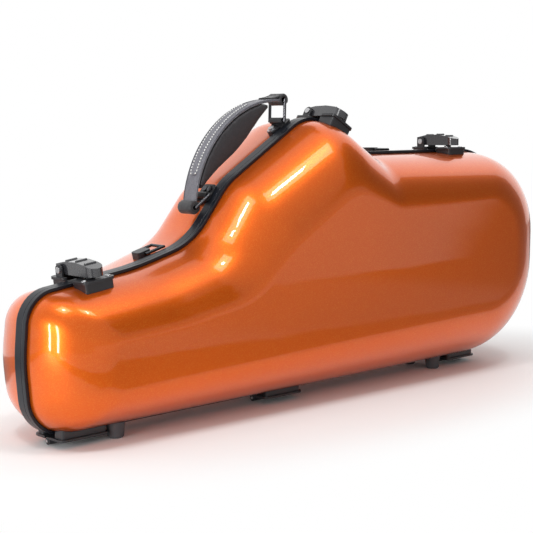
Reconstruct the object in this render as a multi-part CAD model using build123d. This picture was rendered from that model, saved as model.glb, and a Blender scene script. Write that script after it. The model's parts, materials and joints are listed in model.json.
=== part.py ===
from build123d import *
from math import acos, atan2, cos, degrees, hypot, pi, radians, sin, tan
import os

os.makedirs("parts", exist_ok=True)

# Case outline in the parting plane, seen from the lid, clockwise from the lower left
case_length = 652.5
outline_height = 269.7
rim_base_z = 8.0
outline_x_shares = [-0.492, -0.5012, -0.4943, -0.328, -0.2293, -0.1667, 0.0031, 0.1012, 0.5004, 0.5004]
outline_z_shares = [0.0, 0.2373, 0.4386, 0.4935, 0.5591, 0.7482, 1.0, 0.8454, 0.8565, 0.0]
outline_radius_shares = [0.1335, 0.5562, 0.1112, 0.964, 0.2781, 0.2596, 0.1669, 0.1261, 0.3115, 0.4]

# Flat cap at full depth, the same corners drawn in
cap_x_shares = [-0.4138, -0.4199, -0.4046, -0.3034, -0.19, -0.1103, 0.0031, 0.095, 0.377, 0.377]
cap_z_shares = [0.1557, 0.2225, 0.2892, 0.3115, 0.3634, 0.5265, 0.7119, 0.6377, 0.66, 0.2595]
cap_radius_shares = [0.0371, 0.0519, 0.0445, 0.5562, 0.2966, 0.2966, 0.1483, 0.1483, 0.1706, 0.1706]

# Depth of each half at its narrow and wide ends, and how square its sides are
lid_depth_narrow = 52.0
lid_depth_wide = 82.0
lid_square_power = 2.05
base_depth_narrow = 70.0
base_depth_wide = 94.0
base_square_power = 2.3

# Shells
wall = 3.0
rim_proud = 3.0
smooth_angles = [6, 20, 45, 70, 90]
hollow_angles = [0, 8, 25, 45, 62, 77, 90]
lid_edge_angle = 1.6
base_edge_angle = 1.0

# Rims
lid_rim_width = 4.5
base_rim_width = 8.5
rim_joint_gap = 0.4
lid_rim_inset = 8.0
base_rim_inset = 10.6
tongue_inset = 8.6
tongue_reach = 3.0
groove_outer_inset = 2.8
groove_inner_inset = 7.0
lid_groove_start = 1.3
base_groove_start = 1.8
seal_outer_inset = 3.5
seal_inner_inset = 5.5
seal_depth = 1.4
seal_proud = 0.3

# Fits
seat_fit = 0.08
running_fit = 0.05
foam_gap = 0.3
overrun = 5.0

# Foam
cradle_top = 9.0
padding_top = 5.0
bell_axis_y = 8.0
bell_mouth_x = -25.0
bell_mouth_z = 203.0
bell_mouth_radius = 61.0
bell_throat_share = 0.42
bell_throat_radius = 44.0
bow_x = 238.0
bow_z = 117.0
bow_radius = 41.0
body_low_x = 236.0
body_low_z = 80.0
body_low_radius = 39.0
body_top_x = -286.0
body_top_z = 64.0
body_top_radius = 22.0
pocket_x = 196.0
pocket_z = 209.0
pocket_length = 170.0
pocket_width = 24.0
pocket_radius = 9.0
pocket_floor = 44.0
hold_strap_x = -128.0
hold_strap_width = 30.0
hold_strap_length = 85.0
hold_strap_z = 71.0
hold_strap_thickness = 2.0
hold_patch_length = 46.0

# Feet
foot_x_left = -244.4
foot_x_right = 186.0
lid_foot_y = 14.4
base_foot_y = 18.4
foot_top_radius = 8.3
foot_bottom_radius = 7.0
foot_edge_radius = 1.4
foot_recess_radius = 3.9
foot_recess_depth = 3.0
foot_reach = 14.0

# Hinges
hinge_axis_y = -0.2
hinge_axis_z = 4.4
hinge_x_left = -278.0
hinge_x_middle = -48.0
hinge_x_right = 232.0
hinge_length = 49.0
hinge_leaf_near = 3.9
hinge_leaf_far = 20.0
hinge_leaf_top = 7.9
hinge_leaf_thickness = 2.0
hinge_leaf_radius = 5.0
hinge_pad_near = 9.6
lid_pad_near = 5.6
hinge_pad_inset = 2.0
hinge_pad_reach = 30.0
knuckle_radius = 3.2
knuckle_web = 2.0
hinge_pin_radius = 1.25
hinge_pin_head = 1.0
middle_knuckle = 18.0
knuckle_gap = 0.3

# Latches: places along the outline's straight runs
latch_left_share = 0.519
latch_right_share = 0.545
latch_peak_turn_share = 0.937
catch_width = 31.0
latch_base_width = 25.0
plate_top = 2.5
plate_bottom = 0.25
plate_corner = 4.0
boss_corner = 2.0
boss_inset = 1.5
boss_reach = 16.0
catch_near = 6.0
catch_far = 26.0
hook_front = 12.0
hook_back = 14.0
hook_width = 6.6
hook_top = 8.5
hook_foot = 4.0
latch_base_near = 9.2
latch_base_far = 29.0
window_half = 8.1
window_far = 24.7
ear_inner = 8.6
ear_outer = 10.6
ear_radius = 4.5
pivot_y = 17.0
pivot_n = 8.5
pivot_radius = 1.6
pivot_inner = 6.0
pivot_head_radius = 2.8
pivot_head = 1.0
rivet_radius = 1.6
rivet_head_radius = 2.9
rivet_head = 1.2
rivet_reach = 2.0

# Lever and bail
lever_half_width = 7.6
lever_wall = 1.8
lever_top_wall = 2.2
lever_near = 25.0
lever_far = 24.0
lever_far_wall = 1.1
lever_bottom = 4.5
lever_far_top = 12.9
lever_near_top = 11.5
lever_ridges = [(12.0, 15.4), (-2.0, 16.0), (-14.0, 14.6)]
lever_rib_radius = 1.5
lever_rib_sink = 0.4
lever_rib_length = 10.6
bail_pin_y = 21.2
bail_pin_n = 9.5
bail_bar_y = 15.4
bail_bar_n = 6.5
bail_arm_t = 4.6
bail_radius = 0.95
bail_pin_end = 7.4

# Handle
handle_y = 14.0
loop_half_width = 10.0
loop_wire = 1.5
lower_pivot_t = 46.6
lower_pivot_n = 4.5
lower_loop_reach = 18.3
lower_loop_angle = 215.0
upper_pivot_t = 98.7
upper_pivot_n = 5.44
upper_loop_reach = 20.0
upper_loop_angle = 88.6
roll_radius = 6.5
flap_radius = 6.0
open_pivot_clearance = 0.9
strap_thickness = 2.6
strap_half_width = 8.0
strap_sagitta = 31.0
flap_length = 15.0
flap_thickness = 1.4
grip_half_width = 10.0
grip_start_u = 17.0
grip_end_u = 131.0
grip_tip = 5.5
grip_inner_v = 9.0
grip_round = 4.0
panel_half_width = 4.6
panel_thickness = 1.2
panel_start_angle = 16.5
panel_end_angle = 25.0

# Handle brackets and strap rings
bracket_plate = 1.6
bracket_tube_radius = 3.1
bracket_tube_half = 8.0
bracket_corner = 3.0
lower_bracket_start = 42.0
lower_bracket_length = 19.0
lower_bracket_half = 8.5
lower_rivet_t = 55.5
lower_rivet_spacing = 7.0
upper_bracket_start = 94.0
upper_bracket_length = 15.0
upper_bracket_half = 8.0
tongue_width = 10.0
tongue_length = 12.0
bracket_screw_t = 88.5
bracket_screw_radius = 2.0
bracket_screw_head_radius = 3.2
bracket_screw_head = 1.8
washer_radius = 4.6
washer_thickness = 0.7
ring_mount_left_share = 0.4
ring_mount_right_share = 0.195
ring_y = 20.5
ring_block_length = 14.0
ring_block_half = 6.0
ring_block_corner = 2.5
ring_block_top = 3.2
ring_pivot_n = 0.9
ring_wire = 1.4
ring_half_width = 8.2
ring_reach = 19.0


def corners_of(x_shares, z_shares, radius_shares):
    """Corner list (x, z, radius) of an outline."""
    return [
        (case_length * x, rim_base_z + outline_height * z, outline_height * r)
        for x, z, r in zip(x_shares, z_shares, radius_shares)
    ]


def heading(ax, az, bx, bz):
    length = hypot(bx - ax, bz - az)
    return (bx - ax) / length, (bz - az) / length


def grown(corners, amount):
    """Moves every side of an outline outwards by amount."""
    moved = []
    count = len(corners)
    for i, (x, z, radius) in enumerate(corners):
        before, after = corners[i - 1], corners[(i + 1) % count]
        ux, uz = heading(before[0], before[1], x, z)
        vx, vz = heading(x, z, after[0], after[1])
        scale = amount / (1 + ux * vx + uz * vz)
        bulges = ux * vz - uz * vx < 0
        moved.append((x - scale * (uz + vz), z + scale * (ux + vx), radius + (amount if bulges else -amount)))
    return moved


def section(corners, y_at):
    """Closed wire of lines and tangent arcs; y_at gives the depth at each x."""
    count = len(corners)
    bends = []
    for i, (x, z, radius) in enumerate(corners):
        before, after = corners[i - 1], corners[(i + 1) % count]
        ux, uz = heading(x, z, before[0], before[1])
        vx, vz = heading(x, z, after[0], after[1])
        half = acos(ux * vx + uz * vz) / 2
        back = radius / tan(half)
        mx, mz = heading(0, 0, ux + vx, uz + vz)
        dip = radius / sin(half) - radius
        bends.append([(x + ux * back, z + uz * back), (x + mx * dip, z + mz * dip), (x + vx * back, z + vz * back)])
    edges = []
    for i, bend in enumerate(bends):
        points = [(px, y_at(px), pz) for px, pz in bend + [bends[(i + 1) % count][0]]]
        edges.append(ThreePointArc(points[0], points[1], points[2]).edge())
        edges.append(Line(points[2], points[3]).edge())
    return Wire(edges)


rim_outline = corners_of(outline_x_shares, outline_z_shares, outline_radius_shares)
cap_outline = corners_of(cap_x_shares, cap_z_shares, cap_radius_shares)
lid = {"side": -1, "narrow": lid_depth_narrow, "wide": lid_depth_wide, "power": lid_square_power}
base = {"side": 1, "narrow": base_depth_narrow, "wide": base_depth_wide, "power": base_square_power}


def half_form(half, growth, angles, ruled=False):
    """Solid of one moulded half, its surface moved out by growth."""
    shell_outline = grown(rim_outline, growth - rim_proud)
    wires = []
    for angle in angles:
        inward = 1 - max(cos(radians(angle)), 0) ** (2 / half["power"])
        rise = sin(radians(angle)) ** (2 / half["power"])
        if angle == 90:
            inward = 1
        blend = [
            tuple(a + (b - a) * inward for a, b in zip(outer, inner))
            for outer, inner in zip(shell_outline, cap_outline)
        ]

        def y_at(x):
            depth = half["narrow"] + (half["wide"] - half["narrow"]) * (x / case_length + 0.5)
            return half["side"] * rise * (depth + growth)

        wires.append(section(blend, y_at))
    return Solid.make_loft(wires, ruled)


def ring(outer_inset, inner_inset, y_from, y_to):
    """Band that follows the outline between two insets."""
    outer = section(grown(rim_outline, -outer_inset), lambda x: y_from)
    inner = section(grown(rim_outline, -inner_inset), lambda x: y_from)
    return Solid.extrude(Face(outer, [inner]), Vector(0, y_to - y_from, 0))


def block(x0, x1, y0, y1, z0, z1):
    """Box between two corners."""
    size = Box(abs(x1 - x0), abs(y1 - y0), abs(z1 - z0))
    return Pos((x0 + x1) / 2, (y0 + y1) / 2, (z0 + z1) / 2) * size


def pad(x0, x1, y0, y1, z0, z1, corner):
    """Box with its four upright edges rounded."""
    plan = RectangleRounded(abs(x1 - x0), abs(y1 - y0), corner)
    return Pos((x0 + x1) / 2, (y0 + y1) / 2, min(z0, z1)) * extrude(plan, abs(z1 - z0))


def rod_x(radius, x0, x1, y, z):
    return Pos((x0 + x1) / 2, y, z) * Rot(0, 90, 0) * Cylinder(radius, abs(x1 - x0))


def rod_y(radius, y0, y1, x, z):
    return Pos(x, (y0 + y1) / 2, z) * Rot(90, 0, 0) * Cylinder(radius, abs(y1 - y0))


def rod_z(radius, z0, z1, x, y):
    return Pos(x, y, (z0 + z1) / 2) * Cylinder(radius, abs(z1 - z0))


def side_frame(index, along):
    """Frame on the outline's run that starts at a corner: x along it, y across the seam, z outwards."""
    a, b = rim_outline[index], rim_outline[index + 1]
    tx, tz = heading(a[0], a[1], b[0], b[1])
    origin = (a[0] + tx * along, 0, a[1] + tz * along)
    return Plane(origin=origin, x_dir=(tx, 0, tz), z_dir=(-tz, 0, tx))


def bend_frame(index, share):
    """The same kind of frame on the arc at a corner, share of the way round it."""
    x, z, radius = rim_outline[index]
    before, after = rim_outline[index - 1], rim_outline[index + 1]
    start = atan2(z - before[1], x - before[0])
    end = atan2(after[1] - z, after[0] - x)
    middle, half = (start + end) / 2, (start - end) / 2
    turn = start + (end - start) * share
    centre_x = x + sin(middle) * radius / cos(half)
    centre_z = z - cos(middle) * radius / cos(half)
    origin = (centre_x - sin(turn) * radius, 0, centre_z + cos(turn) * radius)
    return Plane(origin=origin, x_dir=(cos(turn), 0, sin(turn)), z_dir=(-sin(turn), 0, cos(turn)))


def run_length(index):
    a, b = rim_outline[index], rim_outline[index + 1]
    return hypot(b[0] - a[0], b[1] - a[1])


def placed(frame, shape):
    return frame.location * shape


def gathered(shapes):
    """One compound from separate solids."""
    solids = []
    for shape in shapes:
        solids.extend(shape.solids())
    return Compound(solids)


nodes = {}

# Forms of the two halves, for the shells and for seating what is fixed to them
lid_fit_form = half_form(lid, seat_fit, [0] + smooth_angles)
base_fit_form = half_form(base, seat_fit, [0] + smooth_angles)
rim_fit_form = ring(-seat_fit, lid_rim_inset, -lid_rim_width - seat_fit, base_rim_width + seat_fit)

# Rims
lid_rim = ring(0, lid_rim_inset, -lid_rim_width, -rim_joint_gap)
lid_rim -= ring(groove_outer_inset, groove_inner_inset, -lid_rim_width - overrun, -lid_groove_start)
base_rim = ring(0, base_rim_inset, 0, base_rim_width)
base_rim += ring(tongue_inset, base_rim_inset, -tongue_reach, 0)
base_rim -= ring(groove_outer_inset, groove_inner_inset, base_groove_start, base_rim_width + overrun)
base_rim -= ring(seal_outer_inset, seal_inner_inset, -rim_joint_gap, seal_depth)
nodes["lid_rim"] = lid_rim
nodes["base_rim"] = base_rim
nodes["rim_seal"] = ring(
    seal_outer_inset + seat_fit, seal_inner_inset - seat_fit, -seal_proud, seal_depth - seat_fit
)

# Feet, each with a recess for its screw
foot_profile = Polyline(
    (0, foot_recess_depth),
    (foot_recess_radius, foot_recess_depth),
    (foot_recess_radius, 0),
    (foot_bottom_radius - foot_edge_radius, 0),
    (foot_bottom_radius, foot_edge_radius),
    (foot_top_radius, foot_reach),
    (0, foot_reach),
    close=True,
)
foot_blank = revolve(Plane.XZ * make_face(foot_profile), Axis.Z)
for name, y, form in (("lid", -lid_foot_y, lid_fit_form), ("base", base_foot_y, base_fit_form)):
    places = [Pos(x, y, 0) for x in (foot_x_left, foot_x_right)]
    nodes[name + "_feet"] = gathered([place * foot_blank - form - rim_fit_form for place in places])

# Hinges: two outer knuckles on the lid leaf, one middle knuckle on the base leaf
lid_leaves = []
base_leaves = []
pins = []
pin_bore = hinge_pin_radius + running_fit
web_low = hinge_leaf_top - knuckle_web
for x in (hinge_x_left, hinge_x_middle, hinge_x_right):
    x0, x1 = x - hinge_length / 2, x + hinge_length / 2
    m0, m1 = x - middle_knuckle / 2, x + middle_knuckle / 2
    leaf_low = hinge_leaf_top - hinge_leaf_thickness
    bore = rod_x(pin_bore, x0 - overrun, x1 + overrun, hinge_axis_y, hinge_axis_z)
    web_top = hinge_axis_z + knuckle_radius
    for side, form, leaves, spans, pad_near in (
        (-1, lid_fit_form, lid_leaves, [(x0, m0 - knuckle_gap), (m1 + knuckle_gap, x1)], lid_pad_near),
        (1, base_fit_form, base_leaves, [(m0, m1)], hinge_pad_near),
    ):
        near, far = side * hinge_leaf_near, side * hinge_leaf_far
        leaf = pad(x0, x1, near, far, leaf_low, hinge_leaf_top, hinge_leaf_radius)
        leaf += block(x0, x1, near, (near + far) / 2, leaf_low, hinge_leaf_top)
        block_pad = pad(
            x0 + hinge_pad_inset, x1 - hinge_pad_inset, side * pad_near, far - side * hinge_pad_inset,
            leaf_low, hinge_leaf_top + hinge_pad_reach, hinge_leaf_radius - hinge_pad_inset,
        )
        leaf += block_pad - form - rim_fit_form
        for a, b in spans:
            leaf += rod_x(knuckle_radius, a, b, hinge_axis_y, hinge_axis_z)
            leaf += block(a, b, hinge_axis_y, near, leaf_low, web_top)
        leaf = max((leaf - bore).solids(), key=lambda solid: solid.volume)
        leaves.append(leaf)
    pin = rod_x(hinge_pin_radius, x0 - hinge_pin_head, x1 + hinge_pin_head, hinge_axis_y, hinge_axis_z)
    pins.append(pin)
nodes["hinge_lid_leaves"] = gathered(lid_leaves)
nodes["hinge_base_leaves"] = gathered(base_leaves)
nodes["hinge_pins"] = gathered(pins)

# Latches
half_catch = catch_width / 2
catch_plate = pad(-half_catch, half_catch, -catch_near, -catch_far, plate_bottom, plate_top, plate_corner)
catch_plate += pad(
    boss_inset - half_catch, half_catch - boss_inset, -catch_near, boss_inset - catch_far,
    -boss_reach, plate_bottom, boss_corner,
)
hook = block(-hook_width / 2, hook_width / 2, -hook_front, -hook_back, plate_bottom, hook_top)
hook += block(-hook_width / 2, hook_width / 2, -hook_front, hook_foot - hook_back, plate_bottom, hook_foot)
catch_plate += hook

half_base = latch_base_width / 2
latch_plate = pad(-half_base, half_base, latch_base_near, latch_base_far, plate_bottom, plate_top, plate_corner)
latch_plate += pad(
    boss_inset - half_base, half_base - boss_inset, latch_base_near, latch_base_far - boss_inset,
    -boss_reach, plate_bottom, boss_corner,
)
latch_plate -= block(
    -window_half, window_half, latch_base_near - overrun, window_far, -boss_reach - overrun, plate_top + overrun
)
for side in (-1, 1):
    ear = block(
        side * ear_inner, side * ear_outer, pivot_y - ear_radius, pivot_y + ear_radius, plate_bottom, pivot_n
    )
    ear += rod_x(ear_radius, side * ear_inner, side * ear_outer, pivot_y, pivot_n)
    latch_plate += ear
latch_plate -= rod_x(pivot_radius + seat_fit, -half_base, half_base, pivot_y, pivot_n)

pivot_blanks = []
for side in (-1, 1):
    stub = rod_x(pivot_radius, side * pivot_inner, side * ear_outer, pivot_y, pivot_n)
    stub += rod_x(pivot_head_radius, side * ear_outer, side * (ear_outer + pivot_head), pivot_y, pivot_n)
    pivot_blanks.append(stub)

# Lever: a channel with a facetted top, a rounded finger end and a rib along each ridge
def lever_solid(shrink, top_drop, far_wall, bottom_run):
    """Block of the lever's outline, drawn in by shrink."""
    far, near, low = lever_far - far_wall, lever_near, lever_bottom - bottom_run
    ridges = [(y, n - top_drop) for y, n in lever_ridges]
    top = [(far, lever_far_top - top_drop)] + ridges + [(-near, lever_near_top - top_drop)]
    profile = make_face(Polyline(*top, (-near, low), (far, low), close=True))
    half = lever_half_width - shrink
    body = extrude(Plane.YZ * profile, half, both=True)
    centre = near - lever_half_width
    plan = block(-half, half, -centre, far, -overrun, lever_ridges[1][1] + overrun)
    plan += rod_z(half, -overrun, lever_ridges[1][1] + overrun, 0, -centre)
    return body & plan


lever = lever_solid(0, 0, 0, 0) - lever_solid(lever_wall, lever_top_wall, lever_far_wall, overrun)
for y, n in lever_ridges:
    lever += rod_x(lever_rib_radius, -lever_rib_length / 2, lever_rib_length / 2, y, n - lever_rib_sink)
lever -= rod_x(pivot_radius + running_fit, -catch_width, catch_width, pivot_y, pivot_n)
lever -= rod_x(bail_radius + running_fit, -catch_width, catch_width, bail_pin_y, bail_pin_n)


def wire_run(points, radius, closed=False):
    """Round wire through the points, mitred at its bends."""
    path = Polyline(*points, close=closed)
    profile = Plane(origin=points[0], z_dir=path % 0) * Circle(radius)
    return sweep(profile, path=path, transition=Transition.RIGHT).solids()[0]


bail = wire_run(
    [
        (-bail_pin_end, bail_pin_y, bail_pin_n),
        (-bail_arm_t, bail_pin_y, bail_pin_n),
        (-bail_arm_t, -bail_bar_y, bail_bar_n),
        (bail_arm_t, -bail_bar_y, bail_bar_n),
        (bail_arm_t, bail_pin_y, bail_pin_n),
        (bail_pin_end, bail_pin_y, bail_pin_n),
    ],
    bail_radius,
)

latch_frames = {
    "left": side_frame(2, run_length(2) * latch_left_share),
    "peak": bend_frame(6, latch_peak_turn_share),
    "right": side_frame(7, run_length(7) * latch_right_share),
}
for name, frame in latch_frames.items():
    nodes["latch_lever_" + name] = placed(frame, lever)
    nodes["latch_bail_" + name] = placed(frame, bail)
frames = latch_frames.values()
nodes["latch_catches"] = gathered([placed(frame, catch_plate) - lid_fit_form for frame in frames])
nodes["latch_bases"] = gathered([placed(frame, latch_plate) - base_fit_form for frame in frames])
nodes["latch_pivots"] = gathered([placed(frame, stub) for frame in frames for stub in pivot_blanks])

# Handle brackets
lower_frame = side_frame(4, 0)
upper_frame = side_frame(5, 0)


def bracket(start, length, half, pivot_t, pivot_n_up, extra):
    """Plate on the shell's edge with a tube for the wire loop."""
    top = plate_bottom + bracket_plate
    y0, y1 = handle_y - half, handle_y + half
    body = pad(start, start + length, y0, y1, plate_bottom, top, bracket_corner)
    body += pad(start, start + length, latch_base_near, y1, -boss_reach, plate_bottom, bracket_corner)
    tube0, tube1 = handle_y - bracket_tube_half, handle_y + bracket_tube_half
    body += rod_y(bracket_tube_radius, tube0, tube1, pivot_t, pivot_n_up)
    body += block(pivot_t - bracket_plate, pivot_t + bracket_plate, tube0, tube1, plate_bottom, pivot_n_up)
    if extra is not None:
        body += extra
    return body - rod_y(loop_wire + running_fit, -overrun, y1 + overrun, pivot_t, pivot_n_up)


lower_bracket = bracket(
    lower_bracket_start, lower_bracket_length, lower_bracket_half, lower_pivot_t, lower_pivot_n, None
)
screw_tongue = pad(
    bracket_screw_t - tongue_width / 2, bracket_screw_t + tongue_length, handle_y - tongue_width / 2,
    handle_y + tongue_width / 2, -boss_reach, plate_bottom + bracket_plate, tongue_width / 2 - seat_fit,
)
screw_tongue -= block(
    bracket_screw_t - tongue_width, bracket_screw_t + tongue_length + overrun, -overrun, latch_base_near,
    -boss_reach - overrun, plate_bottom,
)
upper_bracket = bracket(
    upper_bracket_start, upper_bracket_length, upper_bracket_half, upper_pivot_t, upper_pivot_n, screw_tongue
)
plate_face = plate_bottom + bracket_plate
rivet_drill = rod_z(rivet_radius + seat_fit, -rivet_reach - seat_fit, plate_face + overrun, 0, 0)
small_rivet = rod_z(rivet_head_radius, plate_face, plate_face + rivet_head, 0, 0)
small_rivet += rod_z(rivet_radius, -rivet_reach, plate_face, 0, 0)
bracket_rivets = []
lower_bracket = placed(lower_frame, lower_bracket) - base_fit_form
for side in (-1, 1):
    spot = Pos(lower_rivet_t, handle_y + side * lower_rivet_spacing / 2, 0)
    lower_bracket = lower_bracket - placed(lower_frame, spot * rivet_drill)
    bracket_rivets.append(placed(lower_frame, spot * small_rivet))
spot = Pos(bracket_screw_t, handle_y, 0)
screw_drill = placed(
    upper_frame, spot * rod_z(bracket_screw_radius + seat_fit, -rivet_reach - seat_fit, overrun, 0, 0)
)
upper_bracket = placed(upper_frame, upper_bracket) - base_fit_form - screw_drill
washer_top = plate_face + washer_thickness
washer = rod_z(washer_radius, plate_face, washer_top, 0, 0)
washer -= rod_z(bracket_screw_radius + seat_fit, plate_face - overrun, washer_top + overrun, 0, 0)
bracket_screw = rod_z(bracket_screw_head_radius, washer_top, washer_top + bracket_screw_head, 0, 0)
bracket_screw += rod_z(bracket_screw_radius, -rivet_reach, washer_top, 0, 0)
nodes["handle_bracket_lower"] = lower_bracket
nodes["handle_bracket_upper"] = upper_bracket
nodes["bracket_rivets"] = gathered(bracket_rivets)
nodes["bracket_washer"] = placed(upper_frame, spot * washer)
nodes["bracket_screw"] = placed(upper_frame, spot * bracket_screw)

# Wire loops of the handle
lower_pivot = lower_frame.from_local_coords(Vector(lower_pivot_t, handle_y, lower_pivot_n))
upper_pivot = upper_frame.from_local_coords(Vector(upper_pivot_t, handle_y, upper_pivot_n))


def end_of(pivot, reach, angle):
    return Vector(pivot.X + reach * cos(radians(angle)), pivot.Y, pivot.Z + reach * sin(radians(angle)))


def wire_loop(start, end, half, radius):
    """Closed rectangle of round wire between two parallel bars along Y."""
    y0, y1 = start.Y - half, start.Y + half
    corners = [(start.X, y1, start.Z), (end.X, y1, end.Z), (end.X, y0, end.Z), (start.X, y0, start.Z)]
    return wire_run([(start.X, start.Y, start.Z)] + corners, radius, True)


grip_low = end_of(lower_pivot, lower_loop_reach, lower_loop_angle)
grip_high = end_of(upper_pivot, upper_loop_reach, upper_loop_angle)
nodes["handle_loop_lower"] = wire_loop(lower_pivot, grip_low, loop_half_width, loop_wire)
nodes["handle_loop_upper"] = wire_loop(upper_pivot, grip_high, loop_half_width, loop_wire)

# Handle: strap on an arc through both bars, padded crescent beneath it, rolled ends and sewn panel
span = hypot(grip_high.X - grip_low.X, grip_high.Z - grip_low.Z)
slope = atan2(grip_high.Z - grip_low.Z, grip_high.X - grip_low.X)
handle_plane = Plane(
    origin=(grip_low.X, handle_y, grip_low.Z), x_dir=(cos(slope), 0, sin(slope)), z_dir=(0, -1, 0)
)
arc_radius = ((span / 2) ** 2 + strap_sagitta**2) / (2 * strap_sagitta)
middle_u = span / 2
middle_v = strap_sagitta - arc_radius
start_turn = degrees(atan2(-middle_v, -middle_u))
end_turn = degrees(atan2(-middle_v, middle_u))


def on_arc(radius, turn):
    return (middle_u + radius * cos(radians(turn)), middle_v + radius * sin(radians(turn)))


def band(outer_radius, inner_radius, turn_a, turn_b):
    """Face between two arcs about the strap's centre."""
    middle = (turn_a + turn_b) / 2
    outer = ThreePointArc(on_arc(outer_radius, turn_a), on_arc(outer_radius, middle), on_arc(outer_radius, turn_b))
    inner = ThreePointArc(on_arc(inner_radius, turn_b), on_arc(inner_radius, middle), on_arc(inner_radius, turn_a))
    ends = [Line(outer @ 1, inner @ 0), Line(inner @ 1, outer @ 0)]
    return make_face([outer.edge(), ends[0].edge(), inner.edge(), ends[1].edge()])


def handle_slab(face, half):
    return handle_plane.location * extrude(face, half, both=True)


def handle_rod(radius, half, u):
    return handle_plane.location * (Pos(u, 0, 0) * Cylinder(radius, 2 * half))


strap = handle_slab(band(arc_radius, arc_radius - strap_thickness, start_turn, end_turn), strap_half_width)
strap = strap - handle_rod(roll_radius, grip_half_width, 0) - handle_rod(flap_radius, grip_half_width, span)
nodes["handle_strap"] = max(strap.solids(), key=lambda solid: solid.volume)

bar_hole = loop_wire + running_fit
roll = handle_rod(roll_radius, strap_half_width, 0) - handle_rod(bar_hole, grip_half_width, 0)
nodes["handle_roll"] = roll
flap_turn = end_turn + degrees(flap_length / arc_radius)
flap = handle_rod(flap_radius, strap_half_width, span)
flap += handle_slab(band(arc_radius + flap_thickness, arc_radius, flap_turn, end_turn), strap_half_width)
nodes["handle_flap"] = flap - handle_rod(loop_wire + open_pivot_clearance, grip_half_width, span)

grip_radius = arc_radius - strap_thickness


def arc_at_u(radius, u):
    return (u, middle_v + (radius**2 - (u - middle_u) ** 2) ** 0.5)


low_tip, high_tip = arc_at_u(grip_radius, grip_start_u), arc_at_u(grip_radius, grip_end_u)
grip_top = ThreePointArc(low_tip, arc_at_u(grip_radius, (grip_start_u + grip_end_u) / 2), high_tip)
grip_under = ThreePointArc(
    (high_tip[0], high_tip[1] - grip_tip),
    ((grip_start_u + grip_end_u) / 2, grip_inner_v),
    (low_tip[0], low_tip[1] - grip_tip),
)
grip_face = make_face(
    [
        grip_top.edge(),
        Line(grip_top @ 1, grip_under @ 0).edge(),
        grip_under.edge(),
        Line(grip_under @ 1, grip_top @ 0).edge(),
    ]
)
grip = extrude(grip_face, grip_half_width, both=True)
under_edges = grip.edges().filter_by(lambda e: abs(e.length - grip_under.length) < seat_fit and e.geom_type == GeomType.CIRCLE)
grip = fillet(under_edges, grip_round)
nodes["handle_grip"] = handle_plane.location * grip

panel_a, panel_b = start_turn - panel_start_angle, end_turn + panel_end_angle
panel = handle_slab(
    band(arc_radius + panel_thickness, arc_radius + seat_fit, panel_a, panel_b), panel_half_width
)
nodes["handle_panel"] = panel

# Shoulder-strap rings in their blocks
ring_frames = {
    "left": side_frame(3, run_length(3) * ring_mount_left_share),
    "right": side_frame(7, run_length(7) * ring_mount_right_share),
}
ring_blocks = []
half_block = ring_block_length / 2
for name, frame in ring_frames.items():
    mount = pad(
        -half_block, half_block, ring_y - ring_block_half, ring_y + ring_block_half,
        -boss_reach, ring_block_top, ring_block_corner,
    )
    mount -= rod_y(ring_wire + running_fit, -overrun, ring_y + catch_width, 0, ring_pivot_n)
    ring_blocks.append(placed(frame, mount) - base_fit_form)
    pivot = frame.from_local_coords(Vector(0, ring_y, ring_pivot_n))
    tip = frame.from_local_coords(Vector(ring_reach, ring_y, ring_pivot_n))
    nodes["strap_ring_" + name] = wire_loop(pivot, tip, ring_half_width, ring_wire)
nodes["strap_ring_blocks"] = gathered(ring_blocks)

# Shells
for name, half, edge_angle in (("lid_shell", lid, lid_edge_angle), ("base_shell", base, base_edge_angle)):
    nodes[name] = half_form(half, 0, [edge_angle] + smooth_angles) - half_form(half, -wall, hollow_angles, True)

# Foam: the saxophone's form is pressed half into the cradle and half into the lid padding
def pressed(ax, az, bx, bz, y, stations):
    """Turned hollow from a to b at depth y with a round far end; stations are (share, radius)."""
    start, end = Vector(ax, y, az), Vector(bx, y, bz)
    length = (end - start).length
    outline = [(0, 0)] + [(radius, share * length) for share, radius in stations]
    last = stations[-1][1]
    crown = ThreePointArc(
        (last, length), (last * cos(pi / 4), length + last * sin(pi / 4)), (0, length + last)
    )
    face = make_face([crown.edge()] + list(Polyline(*outline).edges()) + [Line((0, length + last), (0, 0)).edge()])
    turned = revolve(Plane.XZ * face, Axis.Z)
    return Plane(origin=start, x_dir=(0, 1, 0), z_dir=end - start).location * turned


bell_hollow = pressed(
    bell_mouth_x, bell_mouth_z, bow_x, bow_z, bell_axis_y,
    [(0, bell_mouth_radius), (bell_throat_share, bell_throat_radius), (1, bow_radius)],
)
body_hollow = pressed(
    body_top_x, body_top_z, body_low_x, body_low_z, 0, [(0, body_top_radius), (1, body_low_radius)]
)
saxophone = bell_hollow + body_hollow
foam_growth = -wall - foam_gap
half_length = case_length
cradle = half_form(base, foam_growth, hollow_angles, True)
cradle -= block(-half_length, half_length, -overrun, cradle_top, -half_length, half_length)
cradle -= saxophone
cradle -= Pos(pocket_x, 0, pocket_z) * Rot(-90, 0, 0) * extrude(
    RectangleRounded(pocket_length, pocket_width, pocket_radius), pocket_floor
)
nodes["cradle"] = cradle
padding = half_form(lid, foam_growth, hollow_angles, True)
padding -= block(-half_length, half_length, -padding_top, overrun, -half_length, half_length)
padding -= saxophone
nodes["lid_padding"] = padding

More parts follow.
